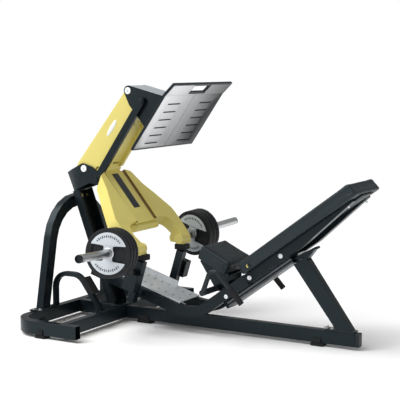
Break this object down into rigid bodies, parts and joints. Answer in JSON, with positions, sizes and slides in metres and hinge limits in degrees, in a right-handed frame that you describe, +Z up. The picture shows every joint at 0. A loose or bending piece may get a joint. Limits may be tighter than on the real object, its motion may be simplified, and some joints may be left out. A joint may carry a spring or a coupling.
{
  "type": "leg press machine",
  "caption": "Seated lever leg press: a yellow forked lever loaded with weight discs pushes a levelled footplate away from a reclined seat on a floor frame.",
  "frame": {"origin": "on the floor, under the middle of the whole machine at rest", "axes": "+X towards the backrest along the main floor beam, +Y to the side away from the levelling link, +Z up"},
  "size_m": [2.0614, 1.846, 1.5286],
  "materials": {
    "frame_paint": "satin charcoal powder coat",
    "lever_paint": "satin light yellow paint",
    "brushed_sheet": "brushed",
    "sleeve_chrome": "satin chrome",
    "disc_iron": "black coating with bright faces",
    "pin_steel": "white coated caps",
    "rail_aluminium": "anodised",
    "upholstery": "satin synthetic leather over foam",
    "rubber": "matte",
    "cap_plastic": "matte"
  },
  "bodies": {
    "frame": {"arch_frame": "frame_paint", "backrest_rail": "rail_aluminium", "column": "frame_paint", "column_floor_beam": "frame_paint", "cross_floor_tube": "frame_paint", "foot_main_beam_front": "rubber", "foot_main_beam_rear": "rubber", "foot_rear_far": "rubber", "foot_rear_near": "rubber", "foot_stub_far": "rubber", "foot_stub_near": "rubber", "head_bracket": "frame_paint", "lever_pivot_pin": "pin_steel", "link_pin_lower": "frame_paint", "main_beam_end_cap": "cap_plastic", "main_floor_beam": "frame_paint", "rail_end_cap": "cap_plastic", "rear_floor_tube": "frame_paint", "rear_strut": "frame_paint", "seat_bracket": "frame_paint", "seat_pad": "upholstery", "side_tube_far": "frame_paint", "side_tube_near": "frame_paint", "step_plate": "brushed_sheet", "stop_block_far": "rubber", "stop_block_near": "rubber", "stop_loop_far": "frame_paint", "stop_loop_near": "frame_paint"},
    "lever": {"lever_arm": "lever_paint", "lever_fork": "lever_paint", "footplate_pin": "pin_steel", "weight_horn_near": "sleeve_chrome", "weight_horn_far": "sleeve_chrome"},
    "footplate": {"footplate_tray": "frame_paint", "footplate_sheet_near": "brushed_sheet", "footplate_sheet_far": "brushed_sheet", "footplate_bracket": "frame_paint", "link_pin_upper": "frame_paint"},
    "link": {"levelling_link": "frame_paint"},
    "catches": {"catch_shaft": "frame_paint", "catch_post_near": "frame_paint", "catch_post_far": "frame_paint", "catch_pad_near": "rubber", "catch_pad_far": "rubber"},
    "release": {"release_handles": "frame_paint", "release_grip_near": "rubber", "release_grip_far": "rubber"},
    "backrest_carriage": {"backrest_bar_near": "frame_paint", "backrest_bar_far": "frame_paint", "backrest_cross_bolt_1": "pin_steel", "backrest_cross_bolt_2": "pin_steel", "rail_slider": "frame_paint", "backrest_pad": "upholstery"},
    "discs_near": {"weight_disc_1_near": "disc_iron", "weight_disc_2_near": "disc_iron", "weight_disc_3_near": "disc_iron"},
    "discs_far": {"weight_disc_1_far": "disc_iron", "weight_disc_2_far": "disc_iron", "weight_disc_3_far": "disc_iron"}
  },
  "joints": [
    {"name": "lever_pivot", "type": "hinge", "parent": "frame", "child": "lever", "pos_m": [-0.8727, 0, 0.974], "axis": [0, 1, 0], "range_deg": [-15, 0]},
    {"name": "footplate_pivot", "type": "hinge", "parent": "lever", "child": "footplate", "pos_m": [-0.5307, 0, 1.473], "axis": [0, 1, 0], "range_deg": [0, 15]},
    {"name": "link_pivot", "type": "hinge", "parent": "frame", "child": "link", "pos_m": [-0.7647, 0, 0.91], "axis": [0, 1, 0], "range_deg": [-15, 0]},
    {"name": "catch_pivot", "type": "hinge", "parent": "frame", "child": "catches", "pos_m": [-0.4127, 0, 0.216], "axis": [0, 1, 0], "range_deg": [0, 25]},
    {"name": "release_pivot", "type": "hinge", "parent": "frame", "child": "release", "pos_m": [0.1073, 0, 0.296], "axis": [0, 1, 0], "range_deg": [0, 25]},
    {"name": "backrest_slide", "type": "slide", "parent": "frame", "child": "backrest_carriage", "axis": [0.809, 0, 0.5878], "range_m": [0, 0.15]},
    {"name": "disc_slide_near", "type": "slide", "parent": "lever", "child": "discs_near", "axis": [0.146, -0.9868, 0.0706], "range_m": [0, 0.24]},
    {"name": "disc_slide_far", "type": "slide", "parent": "lever", "child": "discs_far", "axis": [0.146, 0.9868, 0.0706], "range_m": [0, 0.24]}
  ],
  "couplings": [
    {"joint": "footplate_pivot", "follows": "lever_pivot", "ratio": -1},
    {"joint": "link_pivot", "follows": "lever_pivot", "ratio": 1},
    {"joint": "release_pivot", "follows": "catch_pivot", "ratio": 1}
  ]
}
